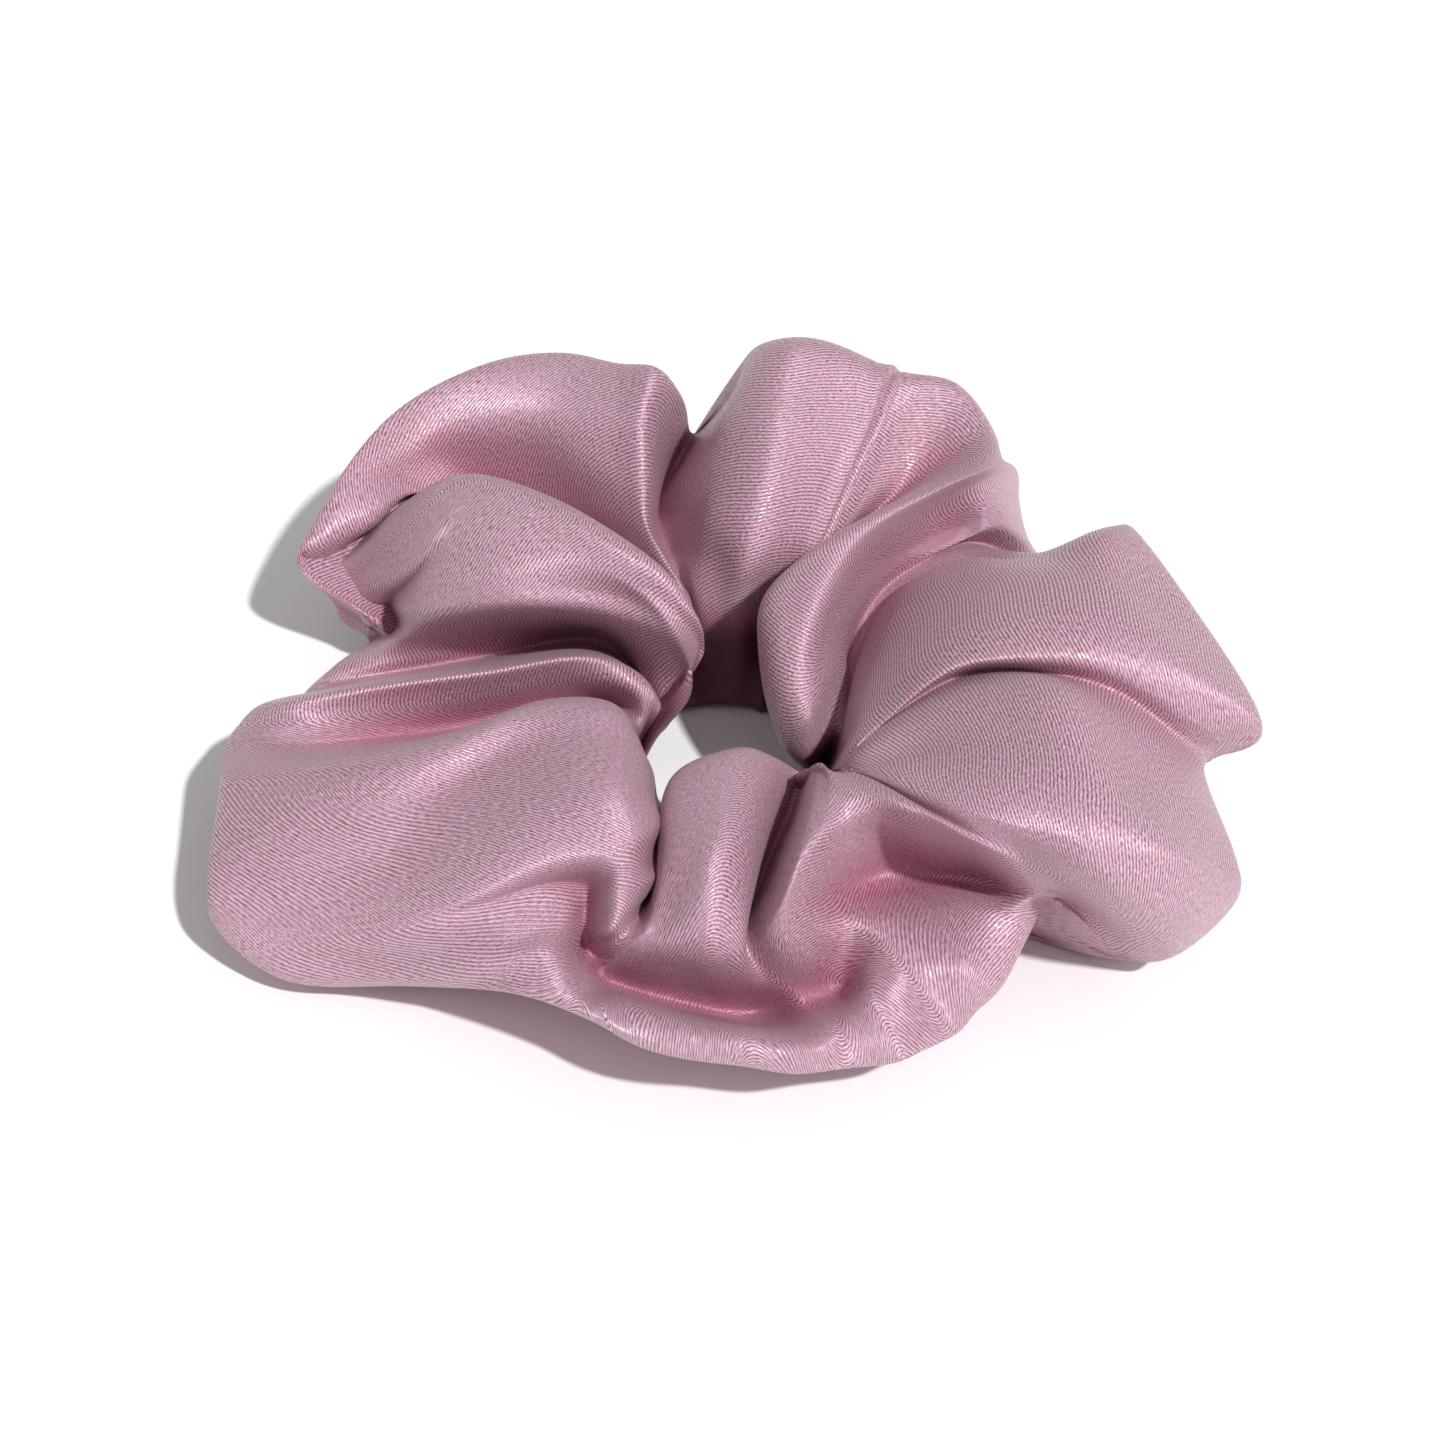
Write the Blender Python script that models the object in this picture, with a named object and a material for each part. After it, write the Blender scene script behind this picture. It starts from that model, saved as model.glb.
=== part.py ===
"""Gathered satin scrunchie: a satin tube sewn into a ring round a loop of flat elastic.

Frame: metres, +Z up, the origin at the bottom centre of the bounding box. The ring lies flat
on z = 0, its hair hole a little behind the Z axis and its closing seam towards the back (+Y).
The tube is cut open by a hairline slit at its closing seam, where its two ends are turned in.
"""
import math

import bmesh
import bpy
from mathutils import Vector

MM = 0.001

# Gathered tube. Each row is a fold crest or a hollow between two folds, anticlockwise from +X:
# azimuth in degrees, outer radius, height, and how far its underside is lifted (all in mm).
FOLDS = (
    (10, 52.0, 30.0, 2.2),
    (29, 49.5, 22.0, 2.2),
    (40, 53.0, 28.0, 0.0),
    (63, 54.0, 30.0, 0.0),
    (83, 52.0, 33.0, 0.0),
    (99, 49.0, 25.0, 2.2),
    (118, 53.0, 29.0, 0.0),
    (135, 54.5, 28.0, 0.0),
    (163, 50.0, 26.0, 1.6),
    (186, 53.2, 22.0, 0.9),
    (209, 61.8, 27.0, 0.0),
    (232, 57.0, 24.0, 0.0),
    (250, 56.0, 22.5, 2.2),
    (272, 60.0, 25.0, 0.0),
    (290, 56.0, 24.0, 0.0),
    (311, 51.0, 27.0, 2.2),
    (329, 64.0, 34.0, 0.0),
    (350, 57.5, 32.0, 0.0),
)
CENTRE_SHIFT = (-0.64 * MM, 4.18 * MM)
HOLE_RADIUS = 8.5 * MM
CLOTH = 0.8 * MM
SQUASH = 3.0 * MM
FLAT_FOOT = 0.7 * MM
GAP = 0.3 * MM
TUBE_STEPS = 60
SECTION_STEPS = 15

# Closing seam, where the tube's two ends meet and turn inwards
CLOSING_AZIMUTH = math.radians(63)
FIRST_STEP = math.radians(8)
LIP_DEPTH = 2.4 * MM
LIP_TAB = 1.8 * MM

# Lengthwise seam: its two allowances lie together as a fin inside the tube's lower outer side
FIN_ANGLE = math.radians(-35)
FIN_HALF_ANGLE = math.radians(2.6)
FIN_TIP_SHARE = 0.8
FIN_DEPTH = 6.0 * MM

# Sewing thread
THREAD_RADIUS = 0.2 * MM
THREAD_SIDES_RESOLUTION = 1
SEAM_THREAD_DEPTH = 1.6 * MM
SEAM_THREAD_OFFSET = 1.5 * MM
SEAM_THREAD_POINTS = 64
CLOSING_THREAD_INSET = 2.0 * MM
CLOSING_THREAD_POINTS = 30
CLOSING_THREAD_FIN_CLEARANCE = math.radians(8)

# Flat braided elastic, lapped and stitched into a loop
ELASTIC_RADIUS = 22.5 * MM
ELASTIC_WIDTH = 6.0 * MM
ELASTIC_THICKNESS = 1.2 * MM
ELASTIC_MID_HEIGHT = 6.7 * MM
ELASTIC_LAP = 14.0 * MM
ELASTIC_STEPS = 72
ELASTIC_JOIN_AZIMUTH = math.radians(92)
LAP_RISE = math.radians(50)
PLY_PITCH = ELASTIC_THICKNESS + GAP

# Zigzag stitches through the lapped ends
STITCH_COUNT = 7
STITCH_PITCH = 1.7 * MM
STITCH_HALF_WIDTH = 1.5 * MM
NEEDLE_HOLE_RADIUS = 0.5 * MM
NEEDLE_HOLE_SIDES = 10

CREASE_ANGLE = math.radians(50)

MATERIALS = {
    "mauve_satin": ((0.42, 0.24, 0.31, 1.0), 0.42, 0.0),
    "white_elastic": ((0.80, 0.78, 0.76, 1.0), 0.85, 0.0),
    "mauve_thread": ((0.40, 0.22, 0.29, 1.0), 0.60, 0.0),
}


def clear_scene():
    for scene_object in list(bpy.data.objects):
        bpy.data.objects.remove(scene_object, do_unlink=True)


def make_material(name, finish):
    colour, roughness, metallic = MATERIALS[finish]
    material = bpy.data.materials.new(name)
    material.use_nodes = True
    shader = material.node_tree.nodes["Principled BSDF"]
    shader.inputs["Base Color"].default_value = colour
    shader.inputs["Roughness"].default_value = roughness
    shader.inputs["Metallic"].default_value = metallic
    material.diffuse_color = colour
    return material


def smoothstep(share):
    share = min(max(share, 0.0), 1.0)
    return share * share * (3.0 - 2.0 * share)


def fold_shape(azimuth):
    """Outer radius, height and lift of the tube at an azimuth, eased between FOLDS' rows."""
    degrees = math.degrees(azimuth) % 360.0
    rows = [(FOLDS[-1][0] - 360, *FOLDS[-1][1:]), *FOLDS, (FOLDS[0][0] + 360, *FOLDS[0][1:])]
    for before, after in zip(rows, rows[1:]):
        if before[0] <= degrees <= after[0]:
            share = smoothstep((degrees - before[0]) / (after[0] - before[0]))
            radius, height, lift = (
                (low + (high - low) * share) * MM for low, high in zip(before[1:], after[1:])
            )
            return radius, height, max(lift - FLAT_FOOT, 0.0)
    raise ValueError("azimuth outside the ring")


def section_point(azimuth, angle, inset):
    """Radius and height of a point of the tube's section, moved into the tube by inset."""
    outer_radius, height, lift = fold_shape(azimuth)
    half_width = (outer_radius - HOLE_RADIUS) / 2 - inset
    half_height = (height + SQUASH) / 2 - inset
    radius = (outer_radius + HOLE_RADIUS) / 2 + half_width * math.cos(angle)
    level = (height - SQUASH) / 2 + half_height * math.sin(angle)
    return radius, max(level, lift + inset)


def section_angles():
    """The section's angles as (angle, on the fin's tip); the fin's own four points come last."""
    start = FIN_ANGLE + FIN_HALF_ANGLE
    step = (2 * math.pi - 2 * FIN_HALF_ANGLE) / SECTION_STEPS
    angles = [(start + step * index, False) for index in range(SECTION_STEPS + 1)]
    tip = FIN_HALF_ANGLE * FIN_TIP_SHARE
    return angles + [(FIN_ANGLE - tip, True), (FIN_ANGLE + tip, True)]


def on_ring(azimuth, radius, height):
    return Vector((
        radius * math.cos(azimuth) + CENTRE_SHIFT[0],
        radius * math.sin(azimuth) + CENTRE_SHIFT[1],
        height,
    ))


def beside_seam(side, distance, radius, height):
    """A point of a plane parallel to the closing seam, at a distance to one side of it."""
    across = Vector((-math.sin(CLOSING_AZIMUTH), math.cos(CLOSING_AZIMUTH), 0.0))
    return on_ring(CLOSING_AZIMUTH, radius, height) + across * (side * distance)


def tube_loop(azimuth, inset, tip_inset):
    loop = []
    for angle, on_tip in section_angles():
        radius, height = section_point(azimuth, angle, tip_inset if on_tip else inset)
        loop.append(on_ring(azimuth, radius, height))
    return loop


def seam_loop(side, distance, inset, tip_inset):
    loop = []
    for angle, on_tip in section_angles():
        radius, height = section_point(CLOSING_AZIMUTH, angle, tip_inset if on_tip else inset)
        loop.append(beside_seam(side, distance, radius, height))
    return loop


def tube_azimuth(share):
    """Azimuth at a share of the way along the tube, which starts and ends by the seam."""
    return CLOSING_AZIMUTH + FIRST_STEP + share * (2 * math.pi - 2 * FIRST_STEP)


def cover_loops():
    """Loops round the tube: the outside, the far lip, the inside, and back by the near lip."""
    azimuths = [tube_azimuth(index / TUBE_STEPS) for index in range(TUBE_STEPS + 1)]
    half_slit = GAP / 2
    lip_back = half_slit + CLOTH
    fin = CLOTH + FIN_DEPTH
    lip = CLOTH + LIP_DEPTH
    outside = [tube_loop(azimuth, 0.0, 0.0) for azimuth in azimuths]
    inside = [tube_loop(azimuth, CLOTH, fin) for azimuth in reversed(azimuths)]
    ends = {}
    for side in (-1, 1):
        ends[side] = [
            seam_loop(side, half_slit, 0.0, 0.0),
            seam_loop(side, half_slit, lip, lip + LIP_TAB),
            seam_loop(side, lip_back, lip, lip + LIP_TAB),
            seam_loop(side, lip_back, CLOTH, fin),
        ]
    return outside + ends[-1] + inside + ends[1][::-1]


def new_object(name, mesh, material):
    mesh.materials.append(material)
    part = bpy.data.objects.new(name, mesh)
    bpy.context.scene.collection.objects.link(part)
    return part


def mesh_from_loops(name, loops, closed):
    """A skin over loops of equal length, closed into a ring or capped at both ends."""
    builder = bmesh.new()
    rings = [[builder.verts.new(point) for point in loop] for loop in loops]
    following = rings[1:] + rings[:1] if closed else rings[1:]
    for ring, next_ring in zip(rings, following):
        for index in range(len(ring)):
            after = (index + 1) % len(ring)
            builder.faces.new((ring[index], ring[after], next_ring[after], next_ring[index]))
    if not closed:
        builder.faces.new(rings[0])
        builder.faces.new(rings[-1])
    bmesh.ops.triangulate(builder, faces=builder.faces[:])
    bmesh.ops.recalc_face_normals(builder, faces=builder.faces[:])
    mesh = bpy.data.meshes.new(name)
    builder.to_mesh(mesh)
    builder.free()
    return mesh


def shade(mesh):
    mesh.shade_smooth()
    mesh.set_sharp_from_angle(angle=CREASE_ANGLE)


def make_cover():
    mesh = mesh_from_loops("satin_cover", cover_loops(), closed=True)
    shade(mesh)
    new_object("satin_cover", mesh, make_material("satin", "mauve_satin"))


def elastic_place(turn, outwards, height):
    """A point on the elastic: turn in radians from its inner end, outwards from its middle."""
    lap = ELASTIC_LAP / ELASTIC_RADIUS
    rise = smoothstep((turn - (2 * math.pi - LAP_RISE)) / LAP_RISE)
    azimuth = ELASTIC_JOIN_AZIMUTH - lap / 2 + turn
    return on_ring(azimuth, ELASTIC_RADIUS + rise * PLY_PITCH + outwards, height)


def elastic_loops():
    turns = 2 * math.pi + ELASTIC_LAP / ELASTIC_RADIUS
    half_width = ELASTIC_WIDTH / 2
    half_thick = ELASTIC_THICKNESS / 2
    corners = ((-1, -1), (1, -1), (1, 1), (-1, 1))
    loops = []
    for index in range(ELASTIC_STEPS + 1):
        turn = turns * index / ELASTIC_STEPS
        loops.append([
            elastic_place(turn, out * half_thick, ELASTIC_MID_HEIGHT + up * half_width)
            for out, up in corners
        ])
    return loops


def stitch_place(index, outwards):
    """A point beside needle hole number index, outwards from the middle of the inner ply."""
    along = (index - (STITCH_COUNT - 1) / 2) * STITCH_PITCH
    side = 1 if index % 2 else -1
    azimuth = ELASTIC_JOIN_AZIMUTH + along / ELASTIC_RADIUS
    height = ELASTIC_MID_HEIGHT + side * STITCH_HALF_WIDTH
    return on_ring(azimuth, ELASTIC_RADIUS + outwards, height)


def needle_hole_cutter():
    """All the needle holes' cylinders, as one cutter through both plies of the elastic."""
    reach = 2 * PLY_PITCH
    builder = bmesh.new()
    for index in range(STITCH_COUNT):
        inner = stitch_place(index, -reach)
        outer = stitch_place(index, PLY_PITCH + reach)
        along = outer - inner
        turn = along.to_track_quat("Z", "Y").to_matrix().to_4x4()
        turn.translation = (inner + outer) / 2
        bmesh.ops.create_cone(
            builder, cap_ends=True, segments=NEEDLE_HOLE_SIDES, radius1=NEEDLE_HOLE_RADIUS,
            radius2=NEEDLE_HOLE_RADIUS, depth=along.length, matrix=turn,
        )
    mesh = bpy.data.meshes.new("needle_holes")
    builder.to_mesh(mesh)
    builder.free()
    cutter = bpy.data.objects.new("needle_hole_cutter", mesh)
    bpy.context.scene.collection.objects.link(cutter)
    cutter.hide_render = True
    cutter.display_type = "WIRE"
    return cutter


def make_elastic():
    mesh = mesh_from_loops("elastic_band", elastic_loops(), closed=False)
    band = new_object("elastic_band", mesh, make_material("elastic", "white_elastic"))
    holes = band.modifiers.new("needle_holes", "BOOLEAN")
    holes.operation = "DIFFERENCE"
    holes.solver = "EXACT"
    holes.object = needle_hole_cutter()


def make_thread(name, points, material):
    """A round sewing thread along points."""
    curve = bpy.data.curves.new(name, "CURVE")
    curve.dimensions = "3D"
    curve.resolution_u = 1
    curve.render_resolution_u = 0
    curve.bevel_depth = THREAD_RADIUS
    curve.bevel_resolution = THREAD_SIDES_RESOLUTION
    curve.use_fill_caps = True
    spline = curve.splines.new("POLY")
    spline.points.add(len(points) - 1)
    for spline_point, point in zip(spline.points, points):
        spline_point.co = (*point, 1.0)
    curve.materials.append(material)
    thread = bpy.data.objects.new(name, curve)
    bpy.context.scene.collection.objects.link(thread)


def tube_seam_points(side):
    """Along one side of the fin, from just past one lip to just short of the other."""
    points = []
    for index in range(SEAM_THREAD_POINTS):
        azimuth = tube_azimuth(index / (SEAM_THREAD_POINTS - 1))
        radius, height = section_point(azimuth, FIN_ANGLE, CLOTH)
        deeper_radius, deeper_height = section_point(azimuth, FIN_ANGLE, CLOTH + FIN_DEPTH)
        inwards = Vector((deeper_radius - radius, deeper_height - height)).normalized()
        sideways = Vector((-inwards.y, inwards.x)) * side
        spot = (
            Vector((radius, height)) + inwards * SEAM_THREAD_DEPTH
            + sideways * SEAM_THREAD_OFFSET
        )
        points.append(on_ring(azimuth, spot.x, spot.y))
    return points


def closing_seam_points(side):
    """Round the inside of one lip, from one side of the fin to the other."""
    start = FIN_ANGLE + CLOSING_THREAD_FIN_CLEARANCE
    sweep = 2 * math.pi - 2 * CLOSING_THREAD_FIN_CLEARANCE
    distance = GAP / 2 + CLOTH + GAP + THREAD_RADIUS
    points = []
    for index in range(CLOSING_THREAD_POINTS):
        angle = start + sweep * index / (CLOSING_THREAD_POINTS - 1)
        radius, height = section_point(CLOSING_AZIMUTH, angle, CLOSING_THREAD_INSET)
        points.append(beside_seam(side, distance, radius, height))
    return points


def elastic_join_points():
    """A running zigzag: through both plies at each hole, then across to the next hole."""
    clear = ELASTIC_THICKNESS / 2 + GAP + THREAD_RADIUS
    inner = -clear
    outer = PLY_PITCH + clear
    points = []
    for index in range(STITCH_COUNT):
        levels = (outer, inner) if index % 2 == 0 else (inner, outer)
        points += [stitch_place(index, level) for level in levels]
    return points


def make_threads():
    make_thread("tube_seam_needle_thread", tube_seam_points(1),
                make_material("tube_needle", "mauve_thread"))
    make_thread("tube_seam_bobbin_thread", tube_seam_points(-1),
                make_material("tube_bobbin", "mauve_thread"))
    make_thread("closing_seam_needle_thread", closing_seam_points(1),
                make_material("closing_needle", "mauve_thread"))
    make_thread("closing_seam_bobbin_thread", closing_seam_points(-1),
                make_material("closing_bobbin", "mauve_thread"))
    make_thread("elastic_join_thread", elastic_join_points(),
                make_material("join_thread", "mauve_thread"))


def build():
    clear_scene()
    make_cover()
    make_elastic()
    make_threads()


build()
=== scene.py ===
"""Looks of the gathered satin scrunchie: satin tube, hidden elastic loop and sewing threads.

Every length in this script is in millimetres until a mesh is made, which MM turns into metres.
The cover is lofted through RIBS: lines along the crests and hollows of its folds, each from the
hair hole over the top of the tube to its outer edge, in order round the ring.
"""
import math

import bpy
import numpy as np
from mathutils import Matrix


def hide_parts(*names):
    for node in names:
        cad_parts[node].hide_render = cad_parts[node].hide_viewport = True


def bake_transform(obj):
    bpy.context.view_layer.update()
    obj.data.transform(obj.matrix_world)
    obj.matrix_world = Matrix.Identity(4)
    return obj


MM = 0.001

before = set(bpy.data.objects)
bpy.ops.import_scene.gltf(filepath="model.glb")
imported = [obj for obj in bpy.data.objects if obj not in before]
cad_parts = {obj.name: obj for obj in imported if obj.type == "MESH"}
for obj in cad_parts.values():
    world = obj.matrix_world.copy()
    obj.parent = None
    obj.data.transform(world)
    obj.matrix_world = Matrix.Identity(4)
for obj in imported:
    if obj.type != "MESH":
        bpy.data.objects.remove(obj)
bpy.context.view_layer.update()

# Camera: it looks down at a place on the table close to the hair hole
VIEW_TARGET = (0.0, 7.9, 0.0)
VIEW_ELEVATION = 38.0
VIEW_DISTANCE = 450.0
SENSOR_WIDTH = 36.0
LENS = 97.7
SHIFT = (-0.0087, 0.0190)

# Light: a sun towards KEY_DIRECTION, and an even white sky
KEY_DIRECTION = (0.5, -0.8, 1.0)
KEY_STRENGTH = 3.1
KEY_SOFTNESS = 2.5
FILL_STRENGTH = 0.42

# Table
TABLE_REACH = 3.0
TABLE_COLOUR = (0.95, 0.95, 0.95, 1.0)
TABLE_ROUGHNESS = 0.9

# Ribs of the cover: seven places (x, y, z) along the top of the tube, from the hair hole's rim
# to the outer edge, anticlockwise from the closing seam.
# The places were worked out by a program and rounded, not chosen one by one.
RIBS = (
    ("closing_seam", (6, 25, 10), (8, 24, 15), (10, 24, 19), (13, 29, 24),
     (16, 35, 28), (19, 45, 29), (23, 54, 13)),
    ("b5_a", (4, 22, 12), (5, 21, 18), (7, 23, 22), (9, 28, 27),
     (12, 36, 30), (12, 46, 32), (14, 56, 14)),
    ("b5_crest", (1, 19, 14), (1, 19, 19), (2, 21, 24), (4, 27, 29),
     (5, 35, 32), (7, 46, 33), (5, 57, 15)),
    ("b5_l", (-2, 20, 13), (-2, 22, 17), (-3, 25, 21), (-1, 30, 26),
     (0, 37, 29), (2, 48, 30), (-3, 56, 14)),
    ("b5_edge", (-4, 21, 12), (-5, 24, 14), (-5, 29, 16), (-5, 34, 20),
     (-3, 40, 23), (0, 48, 24), (-6, 54, 12)),
    ("valley45", (-5, 23, 11), (-6, 27, 12), (-8, 34, 12), (-9, 42, 12),
     (-7, 50, 12), (-5, 54, 14), (-9, 54, 7)),
    ("facet", (-5, 22, 12), (-7, 27, 12), (-9, 34, 13), (-9, 40, 14),
     (-8, 46, 18), (-6, 49, 22), (-11, 53, 10)),
    ("b4_ridge", (-6, 21, 14), (-8, 25, 16), (-10, 29, 18), (-10, 33, 23),
     (-10, 37, 27), (-9, 44, 30), (-15, 52, 13)),
    ("b4_a", (-7, 22, 13), (-10, 27, 16), (-12, 31, 19), (-14, 35, 23),
     (-14, 39, 27), (-14, 48, 28), (-21, 51, 14)),
    ("b4_b", (-8, 25, 12), (-12, 31, 14), (-16, 35, 17), (-19, 38, 22),
     (-20, 42, 26), (-21, 52, 27), (-29, 49, 14)),
    ("b4_c", (-9, 26, 12), (-15, 36, 12), (-21, 40, 14), (-25, 42, 18),
     (-28, 43, 24), (-30, 51, 26), (-37, 43, 14)),
    ("b4_d", (-10, 27, 12), (-18, 37, 12), (-27, 43, 12), (-32, 43, 17),
     (-36, 42, 22), (-40, 44, 24), (-44, 35, 14)),
    ("b4_e", (-11, 27, 12), (-21, 36, 12), (-30, 42, 12), (-37, 40, 17),
     (-42, 36, 21), (-46, 32, 22), (-50, 25, 15)),
    ("b4_tip", (-12, 26, 12), (-21, 35, 12), (-31, 41, 12), (-38, 38, 16),
     (-42, 30, 17), (-47, 25, 18), (-50, 25, 15)),
    ("valley43", (-12, 25, 12), (-21, 33, 12), (-29, 41, 12), (-37, 46, 12),
     (-42, 39, 12), (-46, 31, 12), (-49, 28, 11)),
    ("l3_crest", (-4, 5, 19), (-6, 6, 25), (-10, 8, 29), (-20, 17, 30),
     (-31, 25, 28), (-38, 24, 22), (-47, 28, 9)),
    ("l3_a", (-4, 4, 18), (-7, 2, 25), (-13, 4, 29), (-22, 10, 29),
     (-31, 15, 27), (-36, 15, 22), (-46, 28, 6)),
    ("l3_b", (-5, 3, 16), (-7, 1, 23), (-13, 4, 26), (-25, 6, 26),
     (-35, 12, 21), (-40, 24, 10), (-43, 28, 4)),
    ("l3_c", (-5, 4, 13), (-8, 3, 20), (-15, 4, 23), (-25, 5, 23),
     (-35, 10, 18), (-39, 21, 9), (-43, 28, 2)),
    ("l3_d", (-6, 5, 11), (-9, 6, 15), (-16, 14, 14), (-26, 15, 13),
     (-36, 15, 11), (-43, 19, 7), (-46, 21, 4)),
    ("l3_e", (-7, 4, 9), (-10, 8, 11), (-16, 18, 10), (-27, 17, 9),
     (-37, 16, 8), (-44, 17, 6), (-48, 18, 4)),
    ("cavity", (-8, 4, 8), (-9, 7, 10), (-16, 16, 10), (-27, 15, 9),
     (-37, 15, 7), (-44, 14, 6), (-50, 14, 4)),
    ("l2_crest", (-9, 4, 11), (-11, 6, 14), (-17, 5, 17), (-27, 1, 18),
     (-36, -1, 18), (-46, -2, 17), (-53, 2, 12)),
    ("l2_face", (-10, 3, 10), (-12, 4, 13), (-19, 5, 14), (-28, 2, 14),
     (-37, -1, 15), (-47, -5, 16), (-55, -1, 12)),
    ("valley21", (-11, 1, 10), (-15, 9, 7), (-21, 7, 8), (-30, 3, 8),
     (-38, -3, 11), (-47, -8, 14), (-56, -6, 13)),
    ("f1_crest", (-10, -14, 19), (-13, -13, 24), (-21, -14, 25), (-29, -18, 24),
     (-37, -19, 22), (-46, -16, 18), (-56, -11, 13)),
    ("f1_a", (-9, -20, 21), (-14, -21, 26), (-23, -22, 24), (-32, -25, 21),
     (-40, -26, 19), (-49, -23, 17), (-56, -17, 12)),
    ("f1_b", (-9, -26, 22), (-13, -31, 27), (-21, -33, 25), (-32, -32, 18),
     (-40, -31, 15), (-49, -29, 13), (-56, -26, 11)),
    ("f1_c", (-8, -31, 22), (-12, -37, 25), (-20, -38, 22), (-29, -38, 17),
     (-38, -36, 12), (-47, -33, 9), (-55, -30, 7)),
    ("f1_d", (-9, -34, 21), (-12, -39, 23), (-16, -35, 18), (-21, -37, 18),
     (-29, -40, 14), (-39, -37, 8), (-47, -35, 4)),
    ("f1_e", (-9, -36, 20), (-12, -40, 22), (-15, -35, 16), (-18, -38, 16),
     (-24, -43, 15), (-30, -42, 10), (-35, -37, 5)),
    ("f1_f", (-8, -35, 18), (-12, -41, 20), (-15, -36, 14), (-17, -39, 14),
     (-19, -44, 16), (-21, -46, 14), (-23, -46, 12)),
    ("trough", (-8, -31, 14), (-12, -43, 18), (-14, -39, 13), (-15, -37, 9),
     (-15, -45, 12), (-15, -50, 14), (-15, -50, 12)),
    ("valley_w1", (-8, -26, 13), (-9, -34, 14), (-10, -42, 16), (-12, -41, 12),
     (-13, -39, 7), (-12, -50, 14), (-10, -54, 12)),
    ("f11a_l", (-7, -22, 21), (-7, -34, 22), (-7, -40, 19), (-7, -44, 16),
     (-8, -40, 6), (-6, -52, 14), (-5, -56, 12)),
    ("f11a_c", (0, -18, 22), (-1, -31, 25), (-2, -41, 24), (-3, -45, 16),
     (-1, -38, 2), (0, -54, 14), (1, -56, 11)),
    ("f11a_r", (4, -17, 20), (3, -27, 22), (2, -36, 20), (1, -44, 15),
     (3, -38, 2), (6, -54, 13), (6, -56, 10)),
    ("valley_w2", (7, -16, 17), (6, -20, 15), (3, -28, 13), (1, -40, 13),
     (7, -41, 6), (10, -51, 12), (11, -54, 9)),
    ("f10_la", (8, -22, 22), (7, -33, 24), (5, -41, 22), (4, -43, 16),
     (10, -39, 6), (13, -48, 12), (16, -52, 8)),
    ("f10_lb", (9, -24, 24), (9, -35, 26), (7, -40, 24), (7, -40, 17),
     (12, -38, 10), (15, -45, 13), (19, -50, 8)),
    ("f10_lc", (9, -25, 25), (11, -34, 26), (11, -34, 22), (11, -33, 14),
     (15, -38, 14), (19, -43, 12), (23, -45, 6)),
    ("f11b_a", (10, -26, 25), (14, -34, 27), (16, -29, 18), (17, -28, 12),
     (20, -36, 13), (23, -42, 12), (25, -42, 6)),
    ("f11b_b", (11, -26, 25), (17, -36, 28), (21, -29, 16), (22, -28, 12),
     (24, -34, 13), (26, -38, 12), (28, -39, 7)),
    ("f11b_c", (11, -26, 25), (19, -37, 28), (25, -31, 17), (27, -30, 13),
     (28, -35, 14), (30, -35, 13), (31, -33, 9)),
    ("arch", (12, -26, 25), (21, -38, 28), (27, -37, 22), (30, -36, 18),
     (32, -35, 16), (32, -33, 14), (33, -31, 12)),
    ("f10_under", (12, -26, 25), (23, -37, 26), (31, -38, 22), (33, -36, 18),
     (35, -32, 13), (37, -30, 9), (39, -30, 5)),
    ("f10_crest", (12, -26, 25), (21, -36, 28), (28, -40, 28), (35, -42, 24),
     (40, -41, 18), (43, -37, 11), (44, -33, 5)),
    ("r9_low", (12, -26, 25), (21, -35, 29), (29, -40, 30), (36, -44, 28),
     (43, -42, 22), (47, -38, 14), (48, -33, 7)),
    ("r9_b", (12, -26, 25), (20, -31, 29), (29, -37, 32), (37, -41, 31),
     (45, -39, 25), (50, -34, 17), (53, -29, 10)),
    ("r9_c", (12, -25, 24), (20, -26, 28), (28, -30, 32), (35, -34, 33),
     (42, -32, 27), (49, -29, 20), (53, -25, 12)),
    ("r9_top", (12, -23, 24), (18, -20, 27), (25, -20, 31), (33, -23, 34),
     (41, -22, 28), (47, -20, 22), (51, -15, 13)),
    ("r9_edge", (11, -20, 21), (16, -15, 23), (24, -11, 26), (32, -13, 28),
     (40, -15, 27), (47, -15, 21), (51, -11, 14)),
    ("r8_low", (11, -19, 20), (16, -16, 24), (23, -15, 30), (31, -16, 32),
     (39, -16, 31), (48, -16, 25), (54, -12, 17)),
    ("r8_c", (11, -17, 19), (15, -12, 23), (22, -9, 29), (30, -10, 33),
     (40, -11, 33), (49, -12, 28), (57, -11, 19)),
    ("r8_b", (12, -11, 17), (14, -5, 20), (21, 1, 26), (29, -1, 31),
     (37, -2, 33), (43, -1, 31), (51, 1, 24)),
    ("r8_a", (12, -6, 15), (14, 2, 17), (19, 9, 22), (26, 7, 27),
     (34, 5, 30), (40, 8, 32), (43, 15, 27)),
    ("r8_back", (12, 0, 12), (14, 9, 14), (18, 18, 16), (25, 19, 20),
     (30, 16, 22), (37, 17, 22), (47, 20, 12)),
    ("valley78", (12, -3, 12), (13, 5, 12), (13, 12, 12), (16, 19, 14),
     (21, 23, 16), (28, 28, 16), (39, 28, 8)),
    ("b6_bulge", (11, -3, 13), (12, 5, 14), (13, 12, 16), (18, 21, 17),
     (25, 25, 18), (31, 25, 20), (37, 33, 8)),
    ("r7_c", (8, -7, 13), (9, -6, 19), (11, 6, 20), (16, 18, 20),
     (24, 26, 19), (30, 26, 22), (35, 38, 9)),
    ("r7_b", (5, -6, 13), (6, -6, 20), (9, 2, 25), (14, 13, 25),
     (22, 23, 24), (29, 27, 25), (34, 42, 12)),
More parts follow.
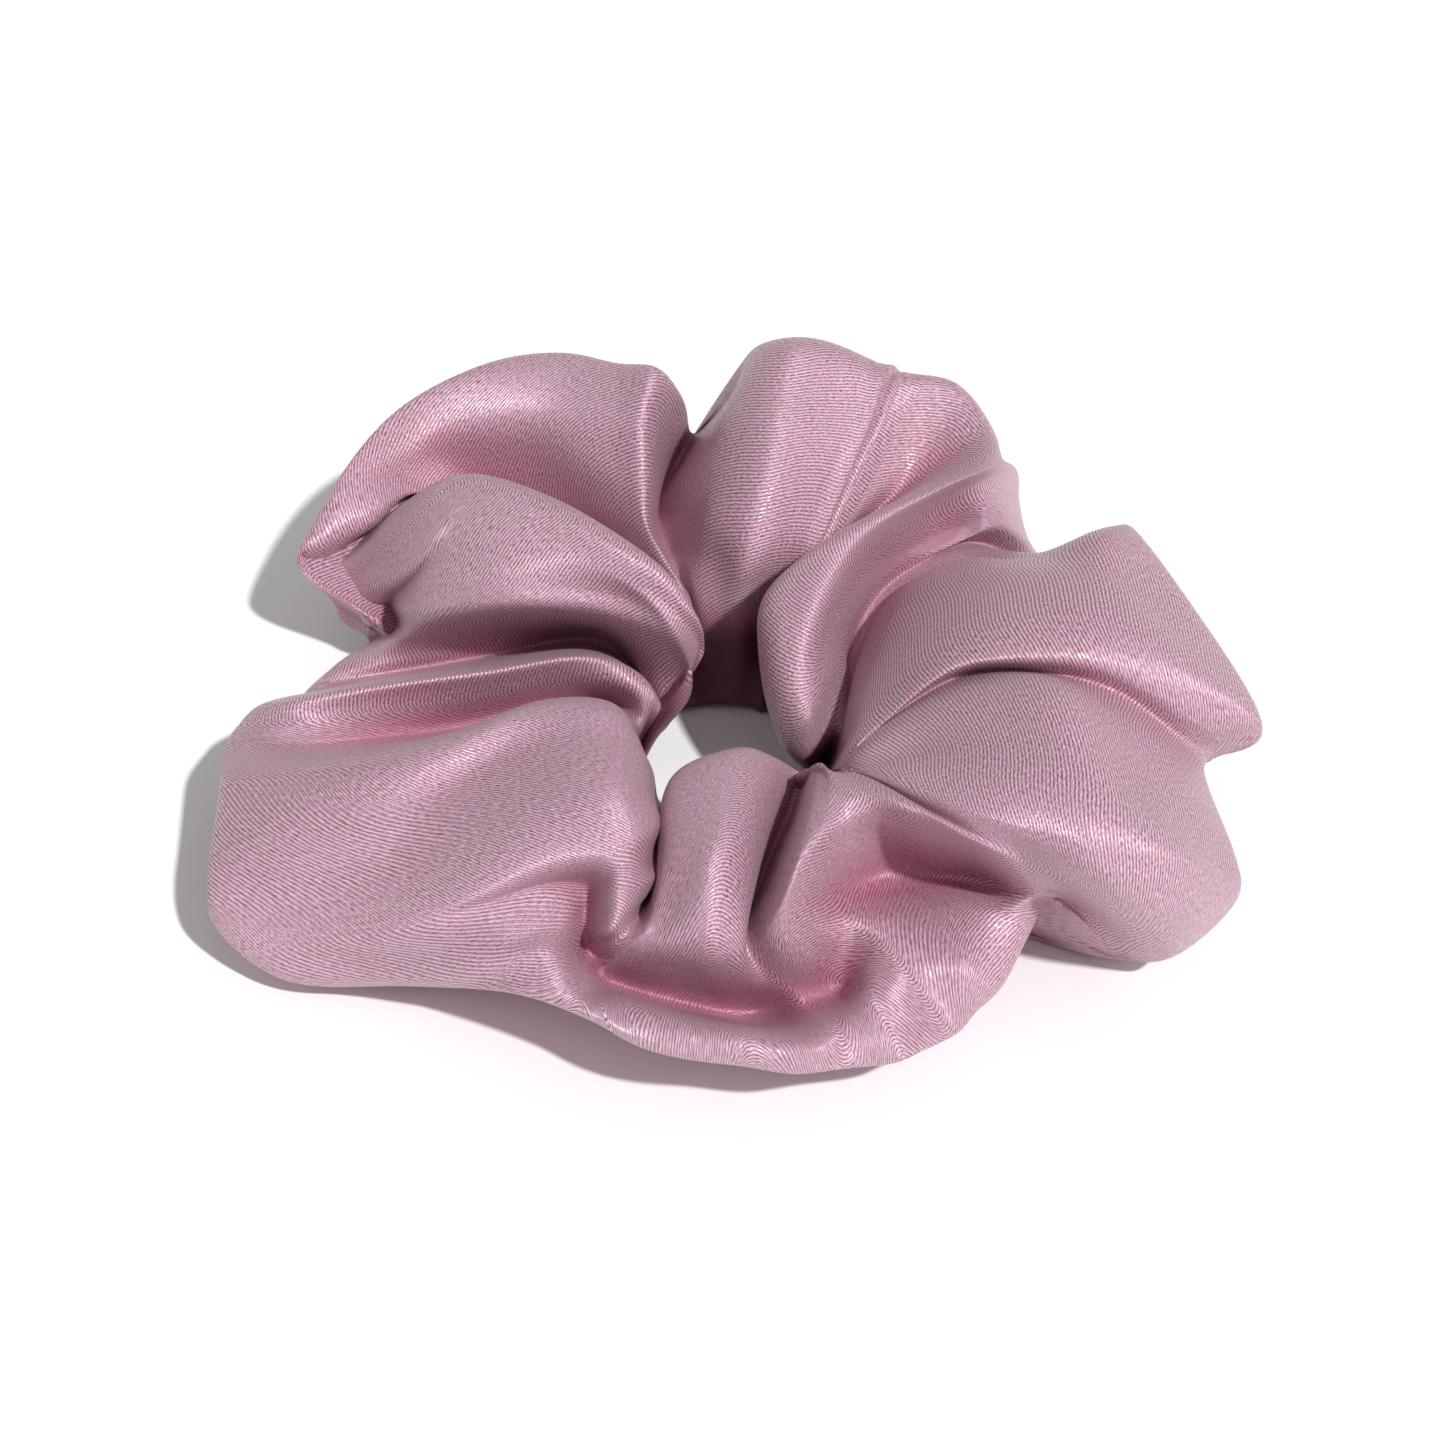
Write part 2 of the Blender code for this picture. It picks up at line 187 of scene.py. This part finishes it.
    ("r7_a", (3, 0, 16), (4, 1, 23), (7, 7, 26), (14, 13, 28),
     (22, 20, 28), (30, 27, 27), (34, 48, 12)),
    ("r7_crest", (3, 8, 17), (3, 9, 22), (7, 12, 25), (13, 16, 27),
     (21, 21, 28), (30, 27, 28), (31, 50, 12)),
    ("b6_b", (5, 23, 12), (8, 26, 13), (12, 29, 16), (18, 30, 20),
     (24, 32, 24), (30, 37, 26), (29, 51, 12)),
    ("b6_a", (5, 24, 10), (8, 25, 14), (12, 26, 18), (17, 31, 22),
     (21, 37, 26), (26, 44, 28), (27, 53, 13)),
)

# Moves the lofted cover towards the middle of the CAD box
CENTRING = np.array((0.0, -1.6, 0.0))

# The tube under and inside the ribs; its sole stays outside the elastic
HOLE_CENTRE = np.array((-1.5, 6.0))
FOOT_RADIUS = 11.5
FLOOR_CLEARANCE = 0.35
INNER_FLOOR_RADIUS = 21.0
EDGE_TUCK_SHARE = 0.6
EDGE_DROP_SHARE = 0.35
SOLE_MARGIN = 6.0
SOLE_LEAST_RADIUS = 29.0
RIB_STEPS = 5
LOOP_STEPS = 6
SMOOTHING_PASSES = 1
AZIMUTH_PASSES = 6
CLOTH_THICKNESS = 0.3
FINE_STEP = 0.5
SEAM_STEP = 0.125
SEAM_SPAN = 3.0

# Closing seam: its ply on the anticlockwise side stands up beside a groove
SEAM_PLY_RISE = 0.5
SEAM_PLY_WIDTH = 2.8
SEAM_GROOVE_DEPTH = 0.55
SEAM_GROOVE_WIDTH = 0.35

# Lengthwise seam: a groove under the tube's outer edge
EDGE_SEAM_LOOP_PLACE = 9
EDGE_SEAM_DEPTH = 0.4
EDGE_SEAM_WIDTH = 0.4

# Flat braided elastic, lapped and stitched into a loop
ELASTIC_CENTRE = (-0.64, 4.18)
ELASTIC_RADIUS = 22.5
ELASTIC_WIDTH = 6.0
ELASTIC_THICKNESS = 1.2
ELASTIC_MID_HEIGHT = 4.7
ELASTIC_CORDS = 6
ELASTIC_CORD_RELIEF = 0.22
ELASTIC_SECTION_POINTS = 60
ELASTIC_STEPS = 300
ELASTIC_LAP = 14.0
ELASTIC_JOIN_AZIMUTH = math.radians(92)
LAP_RISE = math.radians(50)
PLY_PITCH = 1.5

# Sewing thread
THREAD_RADIUS = 0.2
THREAD_SIDES = 8
THREAD_CLEARANCE = 0.5
STITCH_COUNT = 7
STITCH_PITCH = 1.7
STITCH_HALF_WIDTH = 1.5
TUBE_SEAM_LIFT = 1.3
TUBE_SEAM_SPREAD = 0.8
TUBE_SEAM_PASSES = 12
CLOSING_SEAM_INSET = 1.6
CLOSING_SEAM_COLUMNS = 2
CLOSING_SEAM_END_ROWS = 8
TUBE_SEAM_STRIDE = 3

# Weave: the twill line's turn from the strip's length, in degrees, round the ring
WEAVE_TURNS = (-8, 10, 30, 12, 5, 20, 40, 45, 35, 30, 25, 30, 35, 20, 5, 30, 45)
WEAVE_PITCH = 0.46

# Where the surface is stretched against the cloth's coordinates, the lines are halved in pitch:
# the stretch at which each halving starts and is complete. They start from twice WEAVE_PITCH.
WEAVE_STRETCHES = ((0.5, 0.65), (1.0, 1.25), (2.0, 2.5))
STRETCH_LEAST = 0.2
STRETCH_MOST = 6.0
STRETCH_PASSES = 4

# Satin yarn: the twill's dark and pale yarn tones on open cloth, the pale tone also standing in for
# the yarns' glints (painted highlight); a darker, redder pair as painted shade in hollows; a
# painted shadow colour inside the hair hole
YARN_DARK = (0.26, 0.045, 0.105, 1.0)
YARN_PALE_AND_PAINTED_GLINT = (0.77, 0.57, 0.68, 1.0)
HOLLOW_PAINTED_SHADE_DARK = (0.27, 0.05, 0.09, 1.0)
HOLLOW_PAINTED_SHADE_LIGHT = (0.60, 0.29, 0.40, 1.0)
HOLE_PAINTED_SHADE = (0.13, 0.025, 0.045, 1.0)
LINE_CONTRAST = 0.36
DASH_CONTRAST = 3.0
YARN_ROUGHNESS = 0.46
YARN_GLOSS = 0.14

# Painted shade in hollows, where the satin is coloured deeper and redder: passes of smoothing, and
# the full depth
PAINTED_SHADE_SCALES = ((40, 1.4), (200, 3.4), (600, 7.5))
WALL_TOP = 1.2


def smoothstep(share):
    share = np.clip(share, 0.0, 1.0)
    return share * share * (3.0 - 2.0 * share)


def rings_curve(points, places):
    """Catmull-Rom through points, closed along their first axis, read at fractional places."""
    count = len(points)
    base = np.floor(places).astype(int)
    share = (places - base).reshape((-1,) + (1,) * (points.ndim - 1))
    before, here, after, later = (points[(base + step) % count] for step in (-1, 0, 1, 2))
    return 0.5 * (
        2 * here + (after - before) * share
        + (2 * before - 5 * here + 4 * after - later) * share ** 2
        + (3 * (here - after) + later - before) * share ** 3
    )


def unit(vectors):
    return vectors / np.maximum(np.linalg.norm(vectors, axis=-1, keepdims=True), 1e-9)


def spread_azimuths(places):
    """The ribs' directions from the hole's centre, made to turn steadily round the ring."""
    offset = places - HOLE_CENTRE
    turning = np.unwrap(np.arctan2(offset[:, 1], offset[:, 0]))
    even = turning[0] + 2 * math.pi * np.arange(len(turning)) / len(turning)
    drift = turning - even
    for _ in range(AZIMUTH_PASSES):
        drift = (np.roll(drift, 1) + drift + np.roll(drift, -1)) / 3
    return even + drift


def direction(azimuths):
    return np.stack([np.cos(azimuths), np.sin(azimuths)], axis=1)


def place(flat, heights):
    return np.concatenate([flat, np.reshape(heights, (-1, 1))], axis=1)


def loop_points():
    """Each rib's closed loop round the tube: inner wall, top, edge, and back underneath."""
    top = np.array([rib[1:] for rib in RIBS], float)
    heading = direction(spread_azimuths(top[:, 1, :2]))
    foot = place(HOLE_CENTRE + heading * FOOT_RADIUS, np.full(len(top), FLOOR_CLEARANCE))
    wall = (foot + top[:, 0]) / 2
    floor = np.full(len(top), FLOOR_CLEARANCE)
    inner_sole = place(HOLE_CENTRE + heading * INNER_FLOOR_RADIUS, floor)
    edge = top[:, 6]
    outwards = unit(edge[:, :2] - HOLE_CENTRE)
    lift = edge[:, 2:]
    under_edge = place(edge[:, :2] - outwards * lift * EDGE_TUCK_SHARE,
                       edge[:, 2] * (1 - EDGE_DROP_SHARE))
    reach = np.linalg.norm(edge[:, :2] - HOLE_CENTRE, axis=1, keepdims=True)
    sole_reach = np.maximum(reach - lift - SOLE_MARGIN, SOLE_LEAST_RADIUS)
    outer_sole = place(HOLE_CENTRE + outwards * sole_reach, floor)
    sole = (outer_sole + inner_sole) / 2
    loops = [foot, wall] + [top[:, index] for index in range(7)]
    loops += [under_edge, outer_sole, sole, inner_sole]
    return np.stack(loops, axis=1)


def smoothed(grid, passes):
    for _ in range(passes):
        for axis in (0, 1):
            near = (np.roll(grid, 1, axis) + np.roll(grid, -1, axis)) / 2
            grid = grid * 0.5 + near * 0.5
    return grid


def across(grid, places):
    """The grid's curves read the other way: along each rib's loop."""
    return np.swapaxes(rings_curve(np.swapaxes(grid, 0, 1), places), 0, 1)


def coarse_grid():
    controls = loop_points()
    ribs, around = controls.shape[:2]
    grid = rings_curve(controls, np.arange(ribs * RIB_STEPS) / RIB_STEPS)
    grid = across(grid, np.arange(around * LOOP_STEPS) / LOOP_STEPS)
    grid = smoothed(grid, SMOOTHING_PASSES)
    grid[..., 2] = np.maximum(grid[..., 2], FLOOR_CLEARANCE)
    return grid + CENTRING


def lengths_along(grid, axis):
    step = np.linalg.norm(np.roll(grid, -1, axis) - grid, axis=-1)
    return np.insert(np.cumsum(step, axis=axis), 0, 0.0, axis=axis)


def outward_normals(grid):
    ahead = unit(np.roll(grid, -1, 0) - np.roll(grid, 1, 0))
    upwards = unit(np.roll(grid, -1, 1) - np.roll(grid, 1, 1))
    return unit(np.cross(upwards, ahead))


def signed_lengths(grid, axis, start):
    """Distance of each grid corner from line number start, below zero before it."""
    size = grid.shape[axis]
    lengths = lengths_along(grid, axis)
    total = np.take(lengths, [size], axis=axis)
    corners = np.take(lengths, np.arange(size), axis=axis)
    offset = corners - np.take(corners, [start], axis=axis)
    return (offset + total / 2) % total - total / 2


def cover_grid():
    """The cover's outside as a fine grid, pressed in along its two seams."""
    coarse = coarse_grid()
    columns, rows = coarse.shape[:2]
    by_seam = np.arange(-SEAM_SPAN, SEAM_SPAN, SEAM_STEP)
    elsewhere = np.arange(SEAM_SPAN, columns - SEAM_SPAN, FINE_STEP)
    grid = rings_curve(coarse, np.concatenate([by_seam, elsewhere]))
    grid = across(grid, np.arange(0, rows, FINE_STEP))
    grid[..., 2] = np.maximum(grid[..., 2], FLOOR_CLEARANCE)
    normals = outward_normals(grid)
    seam = signed_lengths(grid, 0, len(by_seam) // 2)
    ply = np.where(seam >= 0, SEAM_PLY_RISE * smoothstep(1 - seam / SEAM_PLY_WIDTH), 0.0)
    relief = ply - SEAM_GROOVE_DEPTH * np.exp(-(seam / SEAM_GROOVE_WIDTH) ** 2)
    edge_row = int(EDGE_SEAM_LOOP_PLACE * LOOP_STEPS / FINE_STEP)
    edge_seam = signed_lengths(grid, 1, edge_row)
    relief -= EDGE_SEAM_DEPTH * np.exp(-(edge_seam / EDGE_SEAM_WIDTH) ** 2)
    return grid + normals * relief[..., None]


def painted_shade_mask(grid):
    """Mask of painted shade: from 0 to 1, how deep each grid corner lies in a hollow; 1 more inside
    the hair hole, for its painted shade.
    """
    depth = np.zeros(grid.shape[:2])
    for passes, full in PAINTED_SHADE_SCALES:
        wide = smoothed(grid, passes)
        below = np.sum((wide - grid) * outward_normals(wide), axis=-1)
        depth = np.maximum(depth, below / full)
    # Rows of the hair hole's wall, which get a painted shadow colour
    wall = np.arange(grid.shape[1]) * FINE_STEP / LOOP_STEPS
    hole_painted_shade = np.where(wall < WALL_TOP, 1.0, smoothstep(WALL_TOP + 1 - wall))
    return np.maximum(np.clip(depth, 0.0, 1.0), 2 * hole_painted_shade)


def weave_coordinates(grid):
    """Cloth coordinates in mm of each grid corner: along the twill lines, and across them."""
    columns, rows = grid.shape[:2]
    along_ring = lengths_along(grid, 0).mean(axis=1)
    round_tube = lengths_along(grid, 1)
    round_tube = np.concatenate([round_tube, round_tube[:1]], axis=0)
    turns = np.interp(np.linspace(0, 1, columns + 1), np.linspace(0, 1, len(WEAVE_TURNS)),
                      np.tan(np.radians(WEAVE_TURNS)))
    slant = np.insert(np.cumsum(turns[:-1] * np.diff(along_ring)), 0, 0.0)
    along = np.repeat(along_ring[:, None], rows + 1, axis=1)
    return np.stack([along, round_tube + slant[:, None]], axis=-1)


def weave_stretch(grid, cloth):
    """How many millimetres of the surface one millimetre across the twill lines covers."""
    across_lines = cloth[..., 1]
    steps_u = grid[1:] - grid[:-1]
    steps_u = np.concatenate([steps_u, steps_u[-1:]])
    steps_v = np.roll(grid, -1, 1) - grid
    rise_u = np.diff(across_lines, axis=0)[:, :-1]
    rise_v = np.diff(across_lines, axis=1)[:-1]
    length_u = np.sum(steps_u ** 2, axis=-1)
    length_v = np.sum(steps_v ** 2, axis=-1)
    shear = np.sum(steps_u * steps_v, axis=-1)
    area = np.maximum(length_u * length_v - shear ** 2, 1e-9)
    slope = length_v * rise_u ** 2 - 2 * shear * rise_u * rise_v + length_u * rise_v ** 2
    return smoothed(np.sqrt(area / np.maximum(slope, 1e-9)).clip(STRETCH_LEAST, STRETCH_MOST),
                    STRETCH_PASSES)


def grid_object(name, grid):
    """A mesh over a grid that closes on itself both ways, with the weave's coordinates."""
    columns, rows = grid.shape[:2]
    index = np.arange(columns * rows).reshape(columns, rows)
    corners = [index, np.roll(index, -1, 1), np.roll(np.roll(index, -1, 0), -1, 1),
               np.roll(index, -1, 0)]
    faces = np.stack(corners, axis=-1).reshape(-1, 4)
    mesh = bpy.data.meshes.new(name)
    mesh.from_pydata((grid.reshape(-1, 3) * MM).tolist(), [], faces.tolist())
    cloth = weave_coordinates(grid)
    loops = np.stack([cloth[:-1, :-1], cloth[:-1, 1:], cloth[1:, 1:], cloth[1:, :-1]], axis=2)
    layer = mesh.uv_layers.new(name="weave")
    layer.data.foreach_set("uv", loops.reshape(-1).astype(np.float32))
    # Stored on the points: the mask of painted shade, and the weave's stretch
    for label, values in (("painted_shade", painted_shade_mask(grid)), ("stretch", weave_stretch(grid, cloth))):
        layer = mesh.attributes.new(label, "FLOAT", "POINT")
        layer.data.foreach_set("value", values.reshape(-1).astype(np.float32))
    mesh.update()
    mesh.shade_smooth()
    made = bpy.data.objects.new(name, mesh)
    bpy.context.scene.collection.objects.link(made)
    return made


def node(tree, kind, **inputs):
    made = tree.nodes.new(kind)
    for name, value in inputs.items():
        made.inputs[name].default_value = value
    return made


def maths(tree, operation, first, second=None):
    made = tree.nodes.new("ShaderNodeMath")
    made.operation = operation
    for socket, value in zip(made.inputs, (first, second)):
        if isinstance(value, (int, float)):
            socket.default_value = value
        elif value is not None:
            tree.links.new(value, socket)
    return made.outputs[0]


def mixed(tree, share, first, second):
    made = tree.nodes.new("ShaderNodeMix")
    made.data_type = "RGBA"
    tree.links.new(share, made.inputs[0])
    for socket, value in ((made.inputs[6], first), (made.inputs[7], second)):
        if isinstance(value, tuple):
            socket.default_value = value
        else:
            tree.links.new(value, socket)
    return made.outputs[2]


def satin_material():
    material = bpy.data.materials.new("mauve_satin")
    material.use_nodes = True
    tree = material.node_tree
    shader = tree.nodes["Principled BSDF"]
    shader.inputs["Metallic"].default_value = 0.2
    shader.inputs["Specular IOR Level"].default_value = 1.0
    shader.inputs["Sheen Weight"].default_value = 0.1
    shader.inputs["Sheen Roughness"].default_value = 0.4
    shader.inputs["Sheen Tint"].default_value = (1.0, 0.94, 0.97, 1.0)
    uv = tree.nodes.new("ShaderNodeUVMap")
    uv.uv_map = "weave"
    split = tree.nodes.new("ShaderNodeSeparateXYZ")
    tree.links.new(uv.outputs[0], split.inputs[0])
    along_twill, across_twill = split.outputs[0], split.outputs[1]

    def stretched_noise(along_scale, across_scale, detail):
        spot = tree.nodes.new("ShaderNodeCombineXYZ")
        tree.links.new(maths(tree, "MULTIPLY", along_twill, along_scale), spot.inputs[0])
        tree.links.new(maths(tree, "MULTIPLY", across_twill, across_scale), spot.inputs[1])
        noise = node(tree, "ShaderNodeTexNoise", Scale=1.0, Detail=detail, Roughness=0.6)
        tree.links.new(spot.outputs[0], noise.inputs["Vector"])
        return noise.outputs[0]

    waver = maths(tree, "MULTIPLY", stretched_noise(0.5, 0.5, 2.0), 4.0)
    phase = maths(tree, "MULTIPLY", across_twill, 2 * math.pi / WEAVE_PITCH)
    stretch = tree.nodes.new("ShaderNodeAttribute")
    stretch.attribute_name = "stretch"

    def twill_line(halvings):
        angle = maths(tree, "MULTIPLY", phase, 2 ** halvings / 2)
        return maths(tree, "SINE", maths(tree, "ADD", angle, waver))

    line = twill_line(0)
    for halvings, (low, high) in enumerate(WEAVE_STRETCHES, 1):
        finer = twill_line(halvings)
        ramp = node(tree, "ShaderNodeMapRange", **{"From Min": low, "From Max": high})
        tree.links.new(stretch.outputs["Fac"], ramp.inputs["Value"])
        keep = maths(tree, "MULTIPLY", line, maths(tree, "SUBTRACT", 1.0, ramp.outputs[0]))
        line = maths(tree, "ADD", keep, maths(tree, "MULTIPLY", finer, ramp.outputs[0]))
    dashes = maths(tree, "SUBTRACT", stretched_noise(2.8, 8.5, 2.0), 0.5)
    line = maths(tree, "MULTIPLY", line, LINE_CONTRAST)
    thread = maths(tree, "ADD", maths(tree, "MULTIPLY", dashes, DASH_CONTRAST), line)
    thread = maths(tree, "ADD", thread, 0.5)
    thread = maths(tree, "MINIMUM", maths(tree, "MAXIMUM", thread, 0.0), 1.0)
    painted_shade = tree.nodes.new("ShaderNodeAttribute")
    painted_shade.attribute_name = "painted_shade"
    # Twill pattern in two yarn tones; the pale tone also paints the yarns' glints, a painted
    # highlight
    bright = mixed(tree, thread, YARN_DARK, YARN_PALE_AND_PAINTED_GLINT)
    # Painted shade: a darker, redder copy of the yarn colours, mixed in where the surface lies in a
    # hollow
    deep = mixed(tree, thread, HOLLOW_PAINTED_SHADE_DARK, HOLLOW_PAINTED_SHADE_LIGHT)
    colour = mixed(tree, painted_shade.outputs["Fac"], bright, deep)
    # Painted shadow: the hair hole's wall is coloured near-black
    hole_painted_shade = maths(tree, "SUBTRACT", painted_shade.outputs["Fac"], 1.0)
    colour = mixed(tree, hole_painted_shade, colour, HOLE_PAINTED_SHADE)
    tree.links.new(colour, shader.inputs["Base Color"])
    roughness = maths(tree, "SUBTRACT", YARN_ROUGHNESS, maths(tree, "MULTIPLY", thread, YARN_GLOSS))
    tree.links.new(roughness, shader.inputs["Roughness"])
    bump = node(tree, "ShaderNodeBump", Strength=0.5, Distance=0.00012)
    tree.links.new(thread, bump.inputs["Height"])
    tree.links.new(bump.outputs[0], shader.inputs["Normal"])
    return material


def make_cover(grid):
    cover = grid_object("satin_scrunchie_cover", grid)
    cover.data.materials.append(satin_material())
    wall = cover.modifiers.new("cloth", "SOLIDIFY")
    wall.thickness = CLOTH_THICKNESS * MM
    wall.offset = -1.0
    settle(cover, "satin_cover")


def lofted(name, loops, material):
    """A closed mesh through loops of equal length, capped at both ends."""
    count, size = loops.shape[:2]
    index = np.arange(count * size).reshape(count, size)
    after = np.roll(index, -1, 1)
    sides = np.stack([index[:-1], after[:-1], after[1:], index[1:]], axis=-1).reshape(-1, 4)
    faces = [index[0, ::-1].tolist()] + sides.tolist() + [index[-1].tolist()]
    mesh = bpy.data.meshes.new(name)
    mesh.from_pydata((loops.reshape(-1, 3) * MM).tolist(), [], faces)
    mesh.materials.append(material)
    mesh.shade_smooth()
    made = bpy.data.objects.new(name, mesh)
    bpy.context.scene.collection.objects.link(made)
    return made


def round_loops(points, radius):
    """Circles along a path, turned as little as possible from one to the next."""
    points = np.array(points, float)
    along = unit(np.gradient(points, axis=0))
    side = unit(np.cross(along[0], (0.3, 0.2, 1.0)))
    turns = 2 * math.pi * np.arange(THREAD_SIDES) / THREAD_SIDES
    loops = []
    for spot, heading in zip(points, along):
        side = unit(side - heading * np.dot(side, heading))
        other = np.cross(heading, side)
        ring = np.cos(turns)[:, None] * side + np.sin(turns)[:, None] * other
        loops.append(spot + ring * radius)
    return np.stack(loops)


def elastic_spots(azimuths, radii, heights):
    return np.stack([ELASTIC_CENTRE[0] + radii * np.cos(azimuths),
                     ELASTIC_CENTRE[1] + radii * np.sin(azimuths), heights], axis=-1)


def elastic_loops():
    """Sections of the elastic: a flat oval with a ridge for each braided cord."""
    turn = np.linspace(0, 2 * math.pi + ELASTIC_LAP / ELASTIC_RADIUS, ELASTIC_STEPS + 1)
    rise = smoothstep((turn - (2 * math.pi - LAP_RISE)) / LAP_RISE) * PLY_PITCH
    azimuth = ELASTIC_JOIN_AZIMUTH - ELASTIC_LAP / ELASTIC_RADIUS / 2 + turn
    angle = 2 * math.pi * np.arange(ELASTIC_SECTION_POINTS) / ELASTIC_SECTION_POINTS
    up = np.sin(angle)
    edge = np.sign(np.cos(angle)) * np.sqrt(np.abs(np.cos(angle)))
    cords = 1 - ELASTIC_CORD_RELIEF * np.cos(up * math.pi * ELASTIC_CORDS / 2) ** 2
    out = edge * cords * ELASTIC_THICKNESS / 2
    heights = ELASTIC_MID_HEIGHT + up * ELASTIC_WIDTH / 2
    radii = ELASTIC_RADIUS + rise[:, None] + out[None, :]
    return elastic_spots(azimuth[:, None], radii, np.broadcast_to(heights, radii.shape))


def join_points():
    """The zigzag through both plies of the lap."""
    clear = ELASTIC_THICKNESS / 2 + THREAD_CLEARANCE
    spots = []
    for index in range(STITCH_COUNT):
        along = (index - (STITCH_COUNT - 1) / 2) * STITCH_PITCH
        height = ELASTIC_MID_HEIGHT + (1 if index % 2 else -1) * STITCH_HALF_WIDTH
        levels = (PLY_PITCH + clear, -clear)
        for level in levels if index % 2 == 0 else levels[::-1]:
            spots.append((ELASTIC_JOIN_AZIMUTH + along / ELASTIC_RADIUS,
                          ELASTIC_RADIUS + level, height))
    spots = np.array(spots)
    return elastic_spots(spots[:, 0], spots[:, 1], spots[:, 2])


def plain_material(name, base, light, scale, roughness):
    """Matt yarn in two tones, mottled."""
    material = bpy.data.materials.new(name)
    material.use_nodes = True
    tree = material.node_tree
    shader = tree.nodes["Principled BSDF"]
    shader.inputs["Roughness"].default_value = roughness
    place_in_piece = tree.nodes.new("ShaderNodeTexCoord").outputs["Object"]
    mottle = node(tree, "ShaderNodeTexNoise", Scale=scale, Detail=3.0)
    tree.links.new(place_in_piece, mottle.inputs["Vector"])
    colour = mixed(tree, mottle.outputs[0], base, light)
    tree.links.new(colour, shader.inputs["Base Color"])
    bump = node(tree, "ShaderNodeBump", Strength=0.6, Distance=0.0001)
    tree.links.new(mottle.outputs[0], bump.inputs["Height"])
    tree.links.new(bump.outputs[0], shader.inputs["Normal"])
    return material


def settle(piece, cad_node):
    """Stand in for a CAD node: hide that node and bake the piece's transform into its mesh."""
    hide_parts(cad_node)
    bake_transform(piece)


def make_elastic():
    braid = plain_material("braided_elastic", (0.66, 0.63, 0.61, 1.0), (0.86, 0.84, 0.82, 1.0),
                           2600.0, 0.85)
    settle(lofted("braided_elastic", elastic_loops(), braid), "elastic_band")


def make_threads(grid):
    thread = plain_material("mauve_thread", (0.30, 0.12, 0.18, 1.0), (0.52, 0.30, 0.38, 1.0),
                            5200.0, 0.55)
    edge_row = int(EDGE_SEAM_LOOP_PLACE * LOOP_STEPS / FINE_STEP)
    outer_row = edge_row + int(LOOP_STEPS / FINE_STEP)
    sole_row = outer_row + int(LOOP_STEPS / FINE_STEP)
    seam_column = int(SEAM_SPAN / SEAM_STEP)
    margin = 2 * CLOSING_SEAM_COLUMNS * int(1 / SEAM_STEP)
    route = (grid[:, outer_row] + grid[:, sole_row]) / 2
    for _ in range(TUBE_SEAM_PASSES):
        route = (np.roll(route, 1, 0) + route + np.roll(route, -1, 0)) / 3
    route = np.roll(route, -seam_column, axis=0)[margin:-margin:TUBE_SEAM_STRIDE]
    route[:, 2] += TUBE_SEAM_LIFT
    outwards = unit(route - (*ELASTIC_CENTRE, 0.0))
    for name, side in (("needle", 1), ("bobbin", -1)):
        path = route + outwards * side * TUBE_SEAM_SPREAD
        piece = lofted("tube_seam_%s" % name, round_loops(path, THREAD_RADIUS), thread)
        settle(piece, "tube_seam_%s_thread" % name)
        column = seam_column + side * CLOSING_SEAM_COLUMNS * int(1 / SEAM_STEP)
        deep = grid[column] - outward_normals(grid)[column] * CLOSING_SEAM_INSET
        path = np.roll(deep, -edge_row, axis=0)[CLOSING_SEAM_END_ROWS:-CLOSING_SEAM_END_ROWS]
        piece = lofted("closing_seam_%s" % name, round_loops(path, THREAD_RADIUS), thread)
        settle(piece, "closing_seam_%s_thread" % name)
    piece = lofted("elastic_join", round_loops(join_points(), THREAD_RADIUS), thread)
    settle(piece, "elastic_join_thread")


def make_camera():
    camera = bpy.data.objects.new("camera", bpy.data.cameras.new("camera"))
    bpy.context.scene.collection.objects.link(camera)
    tilt = math.radians(VIEW_ELEVATION)
    back = np.array((0.0, -math.cos(tilt), math.sin(tilt)))
    camera.location = (np.array(VIEW_TARGET) + back * VIEW_DISTANCE) * MM
    camera.rotation_euler = (math.pi / 2 - tilt, 0.0, 0.0)
    camera.data.lens = LENS
    camera.data.sensor_width = SENSOR_WIDTH
    camera.data.shift_x, camera.data.shift_y = SHIFT
    camera.data.clip_start = 0.01
    bpy.context.scene.camera = camera


def make_light():
    lamp = bpy.data.lights.new("key", "SUN")
    lamp.energy = KEY_STRENGTH
    lamp.angle = math.radians(KEY_SOFTNESS)
    key = bpy.data.objects.new("key", lamp)
    bpy.context.scene.collection.objects.link(key)
    key.location = unit(np.array(KEY_DIRECTION, float))
    key.rotation_euler = key.location.to_track_quat("Z", "Y").to_euler()
    world = bpy.data.worlds.new("studio")
    bpy.context.scene.world = world
    world.use_nodes = True
    world.node_tree.nodes["Background"].inputs[0].default_value = (1.0, 1.0, 1.0, 1.0)
    world.node_tree.nodes["Background"].inputs[1].default_value = FILL_STRENGTH
    bpy.context.scene.view_settings.view_transform = "Standard"


def make_table():
    mesh = bpy.data.meshes.new("table")
    turns = ((-1, -1), (1, -1), (1, 1), (-1, 1))
    corners = [(TABLE_REACH * right, TABLE_REACH * back, 0) for right, back in turns]
    mesh.from_pydata(corners, [], [(0, 1, 2, 3)])
    table = bpy.data.objects.new("table", mesh)
    bpy.context.scene.collection.objects.link(table)
    material = bpy.data.materials.new("white_table")
    material.use_nodes = True
    shader = material.node_tree.nodes["Principled BSDF"]
    shader.inputs["Base Color"].default_value = TABLE_COLOUR
    shader.inputs["Roughness"].default_value = TABLE_ROUGHNESS
    shader.inputs["Specular IOR Level"].default_value = 0.0
    mesh.materials.append(material)


make_camera()
make_light()
make_table()
outside = cover_grid()
make_cover(outside)
make_elastic()
make_threads(outside)
